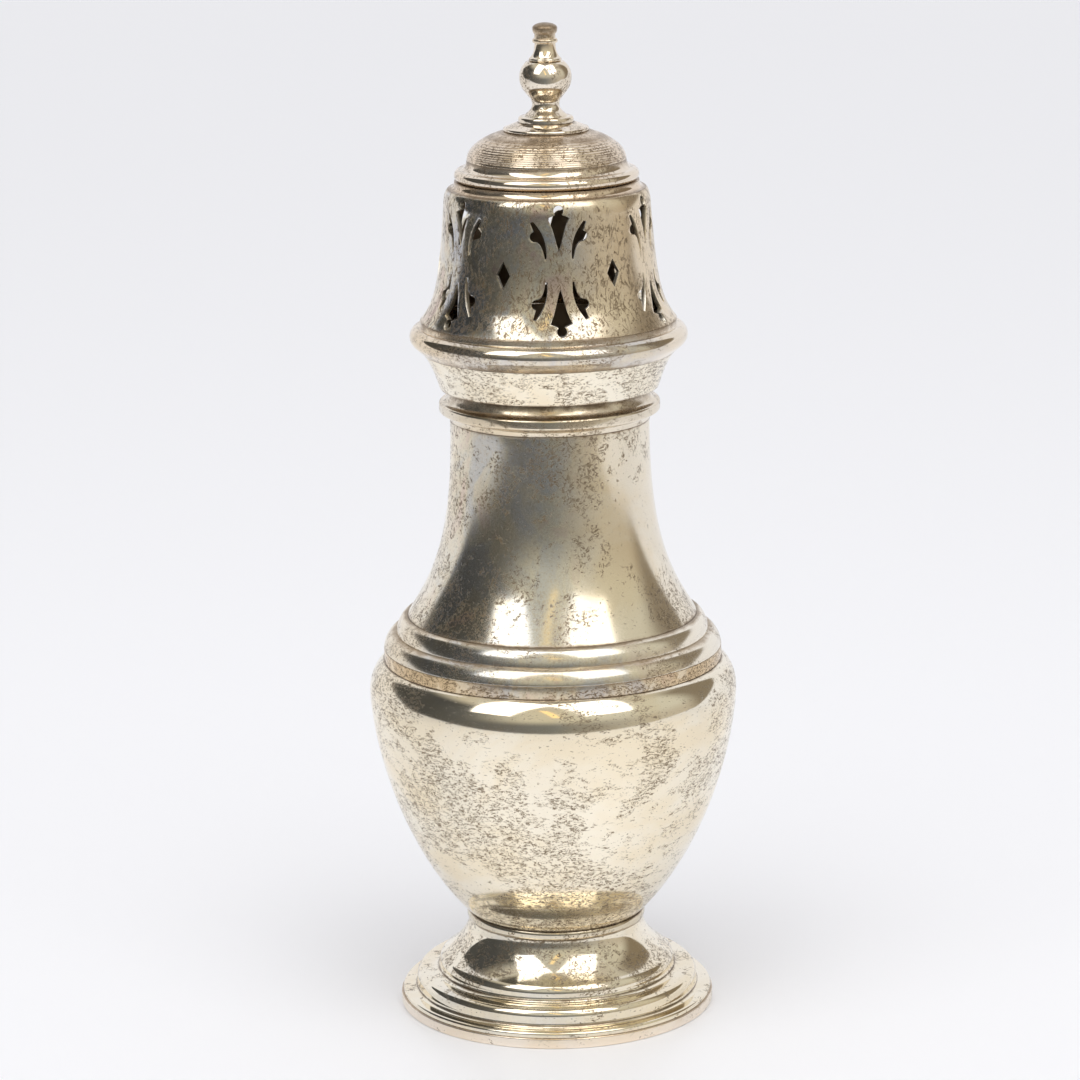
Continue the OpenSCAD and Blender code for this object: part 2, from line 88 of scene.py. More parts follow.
def easeCorners(points, reach=0.09, sharp=24, closed=True):
    # rounds each sharp corner of an outline over a short reach along it
    points = dropRepeats(points)
    if closed and math.dist(points[0], points[-1]) < sameSpot:
        points.pop()
    count = len(points)
    turn = []
    for i in range(count):
        a, b, c = points[i - 1], points[i], points[(i + 1) % count]
        first = math.atan2(b[1] - a[1], b[0] - a[0])
        second = math.atan2(c[1] - b[1], c[0] - b[0])
        turn.append(abs((second - first + math.pi) % (2 * math.pi) - math.pi))
    corner = [t > math.radians(sharp) for t in turn]
    if not closed:
        corner[0] = corner[-1] = False
    eased = []
    for i in range(count):
        b = points[i]
        if not corner[i]:
            beside = [j % count for j in (i - 2, i - 1, i + 1, i + 2)]
            near = min((math.dist(b, points[j]) for j in beside if corner[j]), default=1)
            if near > reach * 0.98:
                eased.append(b)
            continue
        ends = []
        for step in (-1, 1):
            j, here, left = i, b, reach
            while True:
                there = points[(j + step) % count]
                long = math.dist(here, there)
                share = 0.45 if corner[(j + step) % count] else 1
                if long * share >= left or share < 1:
                    go = min(left, long * share) / long
                    ends.append((here[0] + (there[0] - here[0]) * go,
                                 here[1] + (there[1] - here[1]) * go))
                    break
                left -= long
                here = there
                j += step
        for k in range(5):
            t = k / 4
            start, middle, end = (1 - t) ** 2, 2 * t * (1 - t), t * t
            eased.append(tuple(start * ends[0][m] + middle * b[m] + end * ends[1][m] for m in (0, 1)))
    return dropRepeats(eased)


def deselectAll():
    if bpy.context.mode != "OBJECT":
        bpy.ops.object.mode_set(mode="OBJECT")
    bpy.ops.object.select_all(action="DESELECT")


def pick(*shapes):
    deselectAll()
    for shape in shapes:
        shape.select_set(True)
    bpy.context.view_layer.objects.active = shapes[0]


def pickMesh():
    bpy.ops.mesh.select_all(action="SELECT")


def drawOutline(name, points, closed=True, back=0):
    # one vertex drawn along the outline in the upright plane; stays in edit mode
    deselectAll()
    bpy.ops.mesh.primitive_plane_add(size=mm)
    shape = bpy.context.object
    shape.name = shape.data.name = name
    bpy.ops.object.mode_set(mode="EDIT")
    pickMesh()
    bpy.ops.mesh.merge(type="CENTER")
    bpy.ops.transform.translate(value=(points[0][0] * mm, back * mm, points[0][1] * mm))
    route = list(points) + ([points[0]] if closed else [])
    for a, b in zip(route, route[1:]):
        bpy.ops.mesh.extrude_vertices_move(
            TRANSFORM_OT_translate={"value": ((b[0] - a[0]) * mm, 0, (b[1] - a[1]) * mm)})
    pickMesh()
    bpy.ops.mesh.remove_doubles(threshold=mergeGap * mm)
    return shape


def latheShape(name, section, closed=True, reach=0.09, turnSteps=160):
    shape = drawOutline(name, easeCorners(section, reach, closed=closed), closed)
    bpy.ops.mesh.spin(steps=turnSteps, angle=2 * math.pi, center=(0, 0, 0), axis=(0, 0, 1))
    pickMesh()
    bpy.ops.mesh.remove_doubles(threshold=mergeGap * mm)
    bpy.ops.mesh.normals_make_consistent(inside=False)
    bpy.ops.object.mode_set(mode="OBJECT")
    bpy.ops.object.shade_smooth_by_angle(angle=smoothAngle)
    return shape


def placePiece(shape, node, body, finish):
    shape.data.materials.clear()
    shape.data.materials.append(finish)
    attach(shape, body)
    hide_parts(node)


# shader groups for the worn silver
def startGroup(name, inputs, outputs):
    # an input with a number is a value socket, the others are vectors
    group = bpy.data.node_groups.new(name, "ShaderNodeTree")
    for label, value in inputs.items():
        kind = "NodeSocketFloat" if isinstance(value, float) else "NodeSocketVector"
        socket = group.interface.new_socket(name=label, in_out="INPUT", socket_type=kind)
        if value is not None:
            socket.default_value = value
    for label in outputs:
        kind = "NodeSocketColor" if label == "Color" else "NodeSocketFloat"
        group.interface.new_socket(name=label, in_out="OUTPUT", socket_type=kind)
    given, made = group.nodes.new("NodeGroupInput"), group.nodes.new("NodeGroupOutput")
    return group, given.outputs, made.inputs


def feed(tree, value, socket):
    # a node's output is linked to the socket, anything else is set on it
    if hasattr(value, "is_output"):
        tree.links.new(value, socket)
    else:
        socket.default_value = value


def addMath(tree, kind, *values, clamp=False):
    node = tree.nodes.new("ShaderNodeMath")
    node.operation = kind
    node.use_clamp = clamp
    for value, socket in zip(values, node.inputs):
        feed(tree, value, socket)
    return node.outputs[0]


def plus(tree, first, second):
    return addMath(tree, "ADD", first, second)


def minus(tree, first, second):
    return addMath(tree, "SUBTRACT", first, second)


def times(tree, first, second):
    return addMath(tree, "MULTIPLY", first, second)


def larger(tree, first, second):
    return addMath(tree, "MAXIMUM", first, second)


def addNoise(tree, vector, scale, detail=2.0, roughness=0.5, distortion=0.0):
    node = tree.nodes.new("ShaderNodeTexNoise")
    for label, value in (("Vector", vector), ("Scale", scale), ("Detail", detail),
                         ("Roughness", roughness), ("Distortion", distortion)):
        feed(tree, value, node.inputs[label])
    return node.outputs["Fac"]


def addRange(tree, value, low, high, toLow=0.0, toHigh=1.0, smooth=True):
    node = tree.nodes.new("ShaderNodeMapRange")
    node.interpolation_type = "SMOOTHSTEP" if smooth else "LINEAR"
    for label, amount in (("Value", value), ("From Min", low), ("From Max", high), ("To Min", toLow),
                          ("To Max", toHigh)):
        feed(tree, amount, node.inputs[label])
    return node.outputs["Result"]


def addStretch(tree, vector, scale, shift=(0, 0, 0)):
    node = tree.nodes.new("ShaderNodeMapping")
    tree.links.new(vector, node.inputs["Vector"])
    node.inputs["Scale"].default_value = scale
    node.inputs["Location"].default_value = shift
    return node.outputs["Vector"]


def addMix(tree, factor, first, second):
    node = tree.nodes.new("ShaderNodeMix")
    node.data_type = "RGBA"
    feed(tree, factor, node.inputs["Factor"])
    for i, colour in ((6, first), (7, second)):
        feed(tree, colour + (1,) if isinstance(colour, tuple) else colour, node.inputs[i])
    return node.outputs[2]


def addSplit(tree, vector):
    node = tree.nodes.new("ShaderNodeSeparateXYZ")
    tree.links.new(vector, node.inputs[0])
    return node.outputs


def addRamp(tree, factor, stops):
    # colours from one stop to the next, each stop a place and a colour
    node = tree.nodes.new("ShaderNodeValToRGB")
    marks = node.color_ramp.elements
    for mark, (spot, colour) in zip(marks, (stops[0], stops[-1])):
        mark.position = spot
        mark.color = colour + (1,)
    for spot, colour in stops[1:-1]:
        marks.new(spot).color = colour + (1,)
    tree.links.new(factor, node.inputs[0])
    return node.outputs[0]


# short worm-like lines of dark tarnish in clusters, and a few dots
def makeSpeckleGroup():
    inputs = {"Vector": None, "Patch Vector": None, "Grain": 2600.0, "Patch": 75.0, "Amount": 0.5}
    group, given, made = startGroup("tarnishSpecks", inputs, ("Mask", "Stain"))
    place, grain = given["Vector"], given["Grain"]
    patches = addNoise(group, given["Patch Vector"], given["Patch"], 3.0, 0.62, 0.5)
    gathered = plus(group, addRange(group, patches, 0.36, 0.64), minus(group, given["Amount"], 1.0))
    clusters = addNoise(group, place, times(group, grain, 0.13), 4.0, 0.65, 0.8)
    dense = addRange(group, plus(group, clusters, times(group, gathered, 0.34)), 0.5, 0.58)
    worms = addNoise(group, place, times(group, grain, 0.36), 4.0, 0.6, 1.5)
    off = addMath(group, "ABSOLUTE", minus(group, worms, 0.5))
    breaks = addNoise(group, place, times(group, grain, 0.62), 2.0, 0.5, 0.4)
    broken = addRange(group, breaks, 0.42, 0.5)
    lines = times(group, addRange(group, off, 0.02, 0.06, 1.0, 0.0), times(group, broken, dense))
    dots = addRange(group, addNoise(group, place, grain, 1.0, 0.5, 0.5), 0.68, 0.74)
    dots = times(group, dots, addRange(group, gathered, -0.7, -0.2, 0.0, 0.8))
    group.links.new(larger(group, lines, dots), made["Mask"])
    group.links.new(times(group, dense, addRange(group, gathered, -0.3, 0.4)), made["Stain"])
    return group


# brown tarnish left about two creases, darkest right in the crease; with a long reach it is painted shade
# as well
def makeGrimeShadeGroup():
    inputs = {"Vector": None, "Low": 0.0, "High": 0.1, "Reach": 0.001}
    group, given, made = startGroup("creaseGrimeShade", inputs, ("Mask", "Core"))
    height = addSplit(group, given["Vector"])["Z"]
    under = addMath(group, "ABSOLUTE", minus(group, height, given["Low"]))
    over = addMath(group, "ABSOLUTE", minus(group, given["High"], height))
    away = addMath(group, "DIVIDE", addMath(group, "MINIMUM", under, over), given["Reach"])
    near = addMath(group, "SUBTRACT", 1.0, away, clamp=True)
    patchy = minus(group, addNoise(group, given["Vector"], 220.0, 4.0, 0.65, 0.3), 0.5)
    for label, ragged, low, high in (("Mask", 1.5, 0.4, 1.1), ("Core", 0.6, 0.72, 0.98)):
        spread = plus(group, near, times(group, patchy, ragged))
        group.links.new(addRange(group, spread, low, high), made[label])
    return group


# thin olive, blue and purple film on one side, with a ragged edge
def makeFilmGroup():
    inputs = {"Vector": None, "Facing": (-0.37, -0.93, 0.0), "Edge": 0.62}
    group, given, made = startGroup("tarnishFilm", inputs, ("Color", "Mask"))
    place = given["Vector"]
    flat = addStretch(group, place, (1, 1, 0))
    unit = group.nodes.new("ShaderNodeVectorMath")
    unit.operation = "NORMALIZE"
    group.links.new(flat, unit.inputs[0])
    toward = group.nodes.new("ShaderNodeVectorMath")
    toward.operation = "DOT_PRODUCT"
    group.links.new(unit.outputs["Vector"], toward.inputs[0])
    group.links.new(given["Facing"], toward.inputs[1])
    cloud = addNoise(group, place, 95.0, 4.0, 0.6, 0.6)
    ragged = plus(group, toward.outputs["Value"], times(group, minus(group, cloud, 0.5), 0.55))
    over = minus(group, ragged, given["Edge"])
    group.links.new(addRange(group, over, -0.05, 0.3), made["Mask"])
    moved = addStretch(group, place, (1, 1, 0.7), (0.31, 0.11, 0.05))
    tint = addNoise(group, moved, 120.0, 4.0, 0.65, 0.8)
    tint = addRamp(group, tint, ((0.42, (0.42, 0.48, 0.57)), (0.5, (0.58, 0.58, 0.54)),
                                 (0.57, (0.69, 0.63, 0.49)), (0.65, (0.60, 0.46, 0.43))))
    grain = addRange(group, addNoise(group, place, 2300.0, 2.0, 0.6, 0.5), 0.5, 0.66)
    tint = addMix(group, times(group, grain, 0.55), tint, (0.27, 0.20, 0.14))
    group.links.new(tint, made["Color"])
    return group


# polishing lines round the axis and the slight unevenness of spun sheet
def makeHandGroup():
    group, given, made = startGroup("handFinish", {"Vector": None}, ("Height", "Haze"))
    place = given["Vector"]
    lines = addNoise(group, addStretch(group, place, (35, 35, 2600)), 1.0, 3.0, 0.6)
    rubs = addNoise(group, addStretch(group, place, (900, 900, 90)), 1.0, 2.0, 0.5)
    waves = addNoise(group, place, 55.0, 1.0, 0.4)
    fine = plus(group, times(group, lines, 0.035), times(group, rubs, 0.02))
    group.links.new(plus(group, fine, waves), made["Height"])
    haze = addNoise(group, place, 60.0, 4.0, 0.6, 0.4)
    group.links.new(addRange(group, haze, 0.38, 0.66), made["Haze"])
    return group


speckleGroup = makeSpeckleGroup()
grimeShadeGroup = makeGrimeShadeGroup()
filmGroup = makeFilmGroup()
handGroup = makeHandGroup()
print("shader groups built")


def useGroup(tree, group, **values):
    node = tree.nodes.new("ShaderNodeGroup")
    node.node_tree = group
    for label, value in values.items():
        feed(tree, value, node.inputs[label.replace("_", " ")])
    return node.outputs


def newFinish(name):
    finish = bpy.data.materials.new(name)
    finish.use_nodes = True
    tree = finish.node_tree
    return finish, tree, tree.nodes["Principled BSDF"]


def tinted(colour, tint):
    return tuple(c * t for c, t in zip(colour, tint))


tarnish = {"warm": (0.96, 0.91, 0.82), "stain": (0.80, 0.70, 0.56), "speck": (0.13, 0.082, 0.034),
           "brown": (0.36, 0.255, 0.15), "black": (0.10, 0.065, 0.035), "bloom": (0.63, 0.52, 0.37),
           "bloomFacing": (0.85, -0.53, 0.0), "bloomEdge": 0.55, "bloomDull": 0.6, "speckShare": 0.85,
           "brownShare": 0.72, "haze": 0.05, "dullRough": 0.22, "dullMetal": 0.32, "pit": 0.05,
           "bumpDepth": 0.00006}


# one worn silver finish; the values differ from piece to piece
def wornSilver(name, low, high, colour=(0.935, 0.868, 0.728), specks=0.5, grain=2600.0, patch=75.0,
               stretch=(1, 1, 1), grimeShadeReach=1.2, creases=None, film=0.0, filmEdge=0.62,
               facing=(-0.2, -0.98, 0.0), dust=0.0, filmHaze=0.04, gloss=0.05, wave=0.5, stain=0.22,
               core=0.9, thin=None, shift=(0, 0, 0)):
    finish, tree, shader = newFinish(name)
    place = tree.nodes.new("ShaderNodeTexCoord").outputs["Object"]
    laid = addStretch(tree, place, stretch)
    amount = specks
    if thin:
        # another share of specks from one height to the next
        amount = addRange(tree, addSplit(tree, place)["Z"], thin[0] * mm, thin[1] * mm, specks, thin[2])
    moved = addStretch(tree, place, (1, 1, 1), shift)
    speck = useGroup(tree, speckleGroup, Vector=laid, Patch_Vector=moved, Grain=grain, Patch=patch,
                     Amount=amount)
    tarnishAndShade = useGroup(tree, grimeShadeGroup, Vector=place, Low=low * mm, High=high * mm, Reach=grimeShadeReach * mm)
    hand = useGroup(tree, handGroup, Vector=place)
    tone = addNoise(tree, addStretch(tree, place, (1, 1, 1.6)), 38.0, 4.0, 0.6, 0.5)
    warm, stained = tinted(colour, tarnish["warm"]), tinted(colour, tarnish["stain"])
    base = addMix(tree, addRange(tree, tone, 0.42, 0.64), colour, warm)
    base = addMix(tree, times(tree, speck["Stain"], stain), base, stained)
    rough = addMath(tree, "MULTIPLY_ADD", hand["Haze"], tarnish["haze"], gloss)
    # brown and near-black about the creases: tarnish, and painted shade where the reach is long
    brown, black = tarnishAndShade["Mask"], tarnishAndShade["Core"]
    if creases:
        more = useGroup(tree, grimeShadeGroup, Vector=place, Low=creases[0] * mm, High=creases[1] * mm,
                        Reach=grimeShadeReach * mm)
        brown = larger(tree, brown, more["Mask"])
        black = larger(tree, black, more["Core"])
    dull = larger(tree, speck["Mask"], brown)
    if film > 0:
        veil = useGroup(tree, filmGroup, Vector=place, Facing=facing, Edge=filmEdge)
        amount = times(tree, veil["Mask"], film)
        base = addMix(tree, amount, base, veil["Color"])
        rough = plus(tree, rough, times(tree, amount, filmHaze))
    if dust > 0:
        # dry tan bloom on the right
        bloom = useGroup(tree, filmGroup, Vector=place, Facing=tarnish["bloomFacing"],
                         Edge=tarnish["bloomEdge"])
        amount = times(tree, bloom["Mask"], dust)
        base = addMix(tree, amount, base, tarnish["bloom"])
        rough = plus(tree, rough, times(tree, amount, tarnish["dullRough"]))
        dull = larger(tree, dull, times(tree, amount, tarnish["bloomDull"]))
    base = addMix(tree, times(tree, speck["Mask"], tarnish["speckShare"]), base, tarnish["speck"])
    base = addMix(tree, times(tree, brown, tarnish["brownShare"]), base, tarnish["brown"])
    base = addMix(tree, times(tree, black, core), base, tarnish["black"])
    rough = plus(tree, rough, times(tree, dull, tarnish["dullRough"]))
    tree.links.new(base, shader.inputs["Base Color"])
    tree.links.new(rough, shader.inputs["Roughness"])
    metal = minus(tree, 1.0, times(tree, dull, tarnish["dullMetal"]))
    tree.links.new(metal, shader.inputs["Metallic"])
    bump = tree.nodes.new("ShaderNodeBump")
    bump.inputs["Strength"].default_value = wave
    bump.inputs["Distance"].default_value = tarnish["bumpDepth"]
    height = minus(tree, hand["Height"], times(tree, speck["Mask"], tarnish["pit"]))
    tree.links.new(height, bump.inputs["Height"])
    tree.links.new(bump.outputs["Normal"], shader.inputs["Normal"])
    return finish


# dark brown inside of the cover and body, where nothing rubs
def darkInside():
    finish, tree, shader = newFinish("darkInside")
    place = tree.nodes.new("ShaderNodeTexCoord").outputs["Object"]
    cloud = addNoise(tree, place, 160.0, 4.0, 0.6, 0.6)
    base = addMix(tree, addRange(tree, cloud, 0.35, 0.65), (0.30, 0.22, 0.15), (0.48, 0.38, 0.27))
    tree.links.new(base, shader.inputs["Base Color"])
    tree.links.new(addRange(tree, cloud, 0.3, 0.7, 0.38, 0.6), shader.inputs["Roughness"])
    shader.inputs["Metallic"].default_value = 0.75
    return finish


insideFinish = darkInside()


def dressInside(shape, axisGap=0.2, inward=-0.25):
    # faces that look towards the axis take the dark finish
    shape.data.materials.append(insideFinish)
    for face in shape.data.polygons:
        c, n = face.center, face.normal
        r = math.hypot(c.x, c.y)
        if r > axisGap * mm and (c.x * n.x + c.y * n.y) / r < inward:
            face.material_index = 1


sheet = 0.8  # thickness of the spun metal

# foot wire
footWire = {"radius": 28.75, "width": 3.6, "height": 1.9}
footZ = footWire["height"]
wireIn = footWire["radius"] - footWire["width"]
shape = latheShape("footWire", [(wireIn, 0), (footWire["radius"], 0),
                                (footWire["radius"], footZ), (wireIn, footZ)], reach=0.28)
placePiece(shape, "foot_wire", "body", wornSilver(
    "footWireSilver", noCrease, footZ, (0.93, 0.84, 0.735), specks=0.0, patch=110.0, grimeShadeReach=0.3,
    stretch=(1, 1, 2.2), core=0.2))

# foot with its stem
foot = {"lip": 0.35, "roll": 0.5, "flat": 1.2, "cove": 0.9, "side": 0.9, "beadWide": 1.3,
        "beadRise": 1.45, "step": 1.8, "crestCove": 1.1, "crestSide": 0.25, "crestRound": 1.9,
        "crestEnd": 55, "stemRise": 6.95, "stemRadius": 16, "stemIn": 0.32, "stemLean": 0.04,
        "stemUp": 0.46}
rollTop = (footWire["radius"] - foot["lip"] - foot["roll"], footZ + 2 * foot["roll"])
coveStart = (rollTop[0] - foot["flat"], rollTop[1])
sideLow = (coveStart[0] - foot["cove"], coveStart[1] + foot["cove"])
sideTop = sideLow[1] + foot["side"]
beadTop = (sideLow[0] - foot["beadWide"], sideTop + foot["beadRise"])
stepEnd = (beadTop[0] - foot["step"], beadTop[1])
crestR = stepEnd[0] - foot["crestCove"]
crestMid = (crestR - foot["crestRound"], stepEnd[1] + foot["crestCove"] + foot["crestSide"])
crestRound = arcPoints(crestMid, (foot["crestRound"],) * 2, 0, foot["crestEnd"], 12)
stemFoot = crestRound[-1]
stemTop = (foot["stemRadius"], stemFoot[1] + foot["stemRise"])
slope = math.radians(foot["crestEnd"])
reachIn = foot["stemRise"] * foot["stemIn"]
stemLow = (stemFoot[0] - reachIn * math.sin(slope), stemFoot[1] + reachIn * math.cos(slope))
stemHigh = (stemTop[0] + (stemFoot[0] - stemTop[0]) * foot["stemLean"],
            stemTop[1] - foot["stemRise"] * foot["stemUp"])
stem = crestRound + curvePoints(stemFoot, stemLow, stemHigh, stemTop)[1:]
section = [(rollTop[0] + foot["roll"], footZ)]
section += arcPoints((rollTop[0], rollTop[1] - foot["roll"]), (foot["roll"],) * 2, 0, 90)
section += arcPoints((coveStart[0], sideLow[1]), (foot["cove"],) * 2, 270, 180, 12)
section += arcPoints((beadTop[0], sideTop), (foot["beadWide"], foot["beadRise"]), 0, 90, 14)
crestFoot = (stepEnd[0], crestMid[1] - foot["crestSide"])
section += arcPoints(crestFoot, (foot["crestCove"],) * 2, 270, 180, 12)
section += stem + innerFace(stem, sheet)
section += [(crestR - sheet, stepEnd[1] - sheet), (beadTop[0] - sheet, stepEnd[1] - sheet),
            (sideLow[0] - sheet, sideTop), (sideLow[0] - sheet, footZ)]
shape = latheShape("foot", section, reach=0.06)
placePiece(shape, "foot", "body", wornSilver(
    "footSilver", noCrease, stemTop[1], specks=0.1, grain=1700.0, patch=95.0, grimeShadeReach=0.5,
    thin=(stepEnd[1] - 1.5, stemFoot[1], 0.72), creases=(coveStart[1] + 0.4, stepEnd[1] + 0.45), film=0.2,
    stretch=(1, 1, 1.8)))
dressInside(shape)

# bead between stem and bowl
stemBead = {"height": 1.6, "out": 0.35}
bowlZ = stemTop[1] + stemBead["height"]
stemBore = stemTop[0] - sheet
section = [(stemBore, stemTop[1])]
section += arcPoints((stemTop[0], stemTop[1] + stemBead["height"] / 2),
                     (stemBead["out"], stemBead["height"] / 2), -90, 90)
section += [(stemBore, bowlZ)]
shape = latheShape("stemBead", section, reach=0.05)
placePiece(shape, "stem_bead", "body", wornSilver(
    "stemBeadSilver", stemTop[1], bowlZ, (0.74, 0.67, 0.54), specks=0.6, grimeShadeReach=0.55))

# bowl with its shoulder
bowl = {"radius": 33.3, "rise": 42, "shoulder": 5.6, "lean": 0.787, "lift": 0.333, "bellyLift": 0.84,
        "edge": 64.5}
girdle = {"neckBase": 26.2, "upperWide": 2.1, "lowerWide": 2.3, "bandRise": 2.4, "lowerRise": 2.8,
          "upperRise": 3.05, "wireLean": 16}
creaseR = girdle["neckBase"] + girdle["upperWide"]
bandR = creaseR + girdle["lowerWide"]
bellyZ = bowlZ + bowl["rise"]
bandZ = bellyZ + bowl["shoulder"]
low = (stemTop[0], bowlZ)
flank = curvePoints(low, (low[0] + (bowl["radius"] - low[0]) * bowl["lean"],
                          low[1] + bowl["rise"] * bowl["lift"]),
                    (bowl["radius"], bellyZ - bowl["rise"] * (1 - bowl["bellyLift"])),
                    (bowl["radius"], bellyZ), 44)
edge = math.radians(bowl["edge"])
shoulderIn = (bowl["radius"] - bandR) / (1 - math.cos(edge))
shoulderUp = bowl["shoulder"] / math.sin(edge)
outer = flank + arcPoints((bowl["radius"] - shoulderIn, bellyZ), (shoulderIn, shoulderUp), 0,
                          bowl["edge"], 18)[1:]
inside = [p for p in innerFace(outer, sheet)[:-1] if p[1] > bowlZ + sheet]
section = [(0, bowlZ)] + outer + inside + [(low[0] - sheet, bowlZ + sheet), (0, bowlZ + sheet)]
shape = latheShape("bowl", section, closed=False, turnSteps=192)
placePiece(shape, "bowl", "body", wornSilver(
    "bowlSilver", bowlZ, bandZ, specks=0.9, grain=1550.0, patch=48.0, grimeShadeReach=0.45, stretch=(1, 1, 2.4),
    wave=0.4, stain=0.1, gloss=0.09, thin=(bowlZ + 12, bellyZ - 2, 0.64), shift=(0.006, 0.0, -0.004)))
dressInside(shape)

# girdle: flat band and two quarter round wires
wireZ = bandZ + girdle["bandRise"]
upperZ = wireZ + girdle["lowerRise"]
neckZ = upperZ + girdle["upperRise"]
bandBore = girdle["neckBase"] - sheet
section = [(bandR - sheet, bandZ), (bandR, bandZ), (bandR, wireZ), (bandBore, wireZ),
           (bandBore, wireZ - sheet), (bandR - sheet, wireZ - sheet)]
shape = latheShape("girdleBand", section, reach=0.12)
placePiece(shape, "girdle_band", "body", wornSilver(
    "girdleBandSilver", bandZ, wireZ, (0.82, 0.69, 0.50), specks=1.0, grain=1900.0, patch=200.0,
    grimeShadeReach=0.5, film=0.5, filmEdge=0.7, facing=(0.1, -0.99, 0.0), stretch=(1, 1, 1.8), stain=0.8, core=0.5,
    gloss=0.14))


def wireRound(inner, base, wide, rise):
    # starts leaning in and turns over to level
    lean = math.radians(girdle["wireLean"])
    reach = (wide / math.cos(lean), rise / (1 - math.sin(lean)))
    return arcPoints((inner, base + rise - reach[1]), reach, girdle["wireLean"], 90, 16)


section = [(girdle["neckBase"], wireZ)]
section += wireRound(creaseR, wireZ, girdle["lowerWide"], girdle["lowerRise"])
section += [(girdle["neckBase"], upperZ)]
shape = latheShape("lowerGirdleWire", section, reach=0.1)
placePiece(shape, "lower_girdle_wire", "body", wornSilver(
    "lowerWireSilver", noCrease, upperZ, (0.91, 0.845, 0.72), specks=0.4, grimeShadeReach=0.9, film=0.5,
    filmEdge=0.6, gloss=0.15, stretch=(1, 1, 2), core=0.2))
section = [(girdle["neckBase"], upperZ)]
section += wireRound(girdle["neckBase"], upperZ, girdle["upperWide"], girdle["upperRise"])
shape = latheShape("upperGirdleWire", section, reach=0.1)
placePiece(shape, "upper_girdle_wire", "body", wornSilver(
    "upperWireSilver", noCrease, neckZ, (0.91, 0.845, 0.72), specks=0.35, grimeShadeReach=0.8, film=0.45,
    filmEdge=0.6, gloss=0.15, stretch=(1, 1, 2), core=0.4))

# neck with its straight mouth
neck = {"radius": 17.9, "rise": 33.75, "mouth": 7.9, "lean": 0.5, "lift": 0.195, "topLift": 0.39}
mouthZ = neckZ + neck["rise"]
lipZ = mouthZ + neck["mouth"]
spread = neck["radius"] - girdle["neckBase"]
hollow = curvePoints((girdle["neckBase"], neckZ),
                     (girdle["neckBase"] + spread * neck["lean"], neckZ + neck["rise"] * neck["lift"]),
                     (neck["radius"], mouthZ - neck["rise"] * (1 - neck["topLift"])),
                     (neck["radius"], mouthZ), 40)
outer = [(girdle["neckBase"], wireZ)] + hollow + [(neck["radius"], lipZ)]
shape = latheShape("neck", outer + innerFace(outer, sheet), turnSteps=192)
placePiece(shape, "neck", "body", wornSilver(
    "neckSilver", neckZ, mouthZ + 2.2, specks=0.55, grain=2000.0, patch=55.0, grimeShadeReach=0.9, film=0.5,
    facing=(-0.5, -0.866, 0.0), filmHaze=0.22, dust=0.22, wave=0.3, stain=0.15, core=0.7,
    shift=(0.017, 0.03, -0.012)))
dressInside(shape)

# ring round the mouth
mouthRing = {"out": 1.9, "height": 5.7, "cove": 0.75, "coveUp": 0.41}
ringLow = lipZ - mouthRing["height"]
coveR = mouthRing["out"] * mouthRing["cove"]
coveUp = mouthRing["height"] * mouthRing["coveUp"]
edgeR = mouthRing["out"] - coveR
ringX = neck["radius"] + coveR
section = arcPoints((ringX, ringLow), (coveR,) * 2, 180, 90, 12)
section += arcPoints((ringX, ringLow + coveR + edgeR), (edgeR,) * 2, -90, 0, 8)
section += arcPoints((ringX, lipZ - coveUp - edgeR), (edgeR,) * 2, 0, 90, 8)
section += arcPoints((ringX, lipZ), (coveR, coveUp), 270, 180, 14)
shape = latheShape("mouthRing", section, reach=0.07)
# its crease darkening reaches far down from the lip: tarnish in the crease, and painted shade under the
# skirt, near-black close to the lip and brown below
placePiece(shape, "mouth_ring", "body", wornSilver(
    "mouthRingSilver", noCrease, lipZ, (0.82, 0.74, 0.61), specks=0.6, grimeShadeReach=4.5, stretch=(1, 1, 2),
    core=0.8, gloss=0.12))

# sleeve that slides into the neck
sleeve = {"fit": 0.06, "wall": 0.7, "drop": 9.5, "rise": 11.9, "seatGap": 0.1}
seatZ = lipZ + sleeve["seatGap"]
sleeveR = neck["radius"] - sheet - sleeve["fit"]
sleeveIn = sleeveR - sleeve["wall"]
section = [(sleeveIn, seatZ - sleeve["drop"]), (sleeveR, seatZ - sleeve["drop"]),
           (sleeveR, seatZ + sleeve["rise"]), (sleeveIn, seatZ + sleeve["rise"])]
shape = latheShape("coverSleeve", section, reach=0.15)
placePiece(shape, "cover_sleeve", "sleeve", wornSilver(
    "sleeveSilver", noCrease, noCrease, (0.66, 0.58, 0.45), specks=0.55, grimeShadeReach=1.0, gloss=0.2,
    stretch=(1, 1, 0.3)))
dressInside(shape)

# skirt of the cover
skirt = {"out": 1.7, "topRadius": 22.5, "height": 6.4, "lean": 0.22, "low": 0.28, "bend": 0.4,
         "high": 0.62}
skirtR = neck["radius"] + skirt["out"]
rimZ = seatZ + skirt["height"]
spread = skirt["topRadius"] - skirtR
flare = curvePoints((skirtR, seatZ),
                    (skirtR + spread * skirt["lean"], seatZ + skirt["height"] * skirt["low"]),
                    (skirtR + spread * skirt["bend"], seatZ + skirt["height"] * skirt["high"]),
                    (skirt["topRadius"], rimZ), 20)
inside = [p for p in innerFace(flare, sheet)[:-1] if p[1] > seatZ + sheet]
skirtBore = neck["radius"] - sheet
section = [(skirtBore, seatZ)] + flare + inside
section += [(skirtR - sheet, seatZ + sheet), (skirtBore, seatZ + sheet)]
shape = latheShape("coverSkirt", section, reach=0.1)
placePiece(shape, "cover_skirt", "cover", wornSilver(
    "skirtSilver", seatZ, noCrease, specks=0.95, grain=1700.0, patch=90.0, grimeShadeReach=0.6, stretch=(1, 1, 2.3),
    stain=0.15, core=0.6))
dressInside(shape)

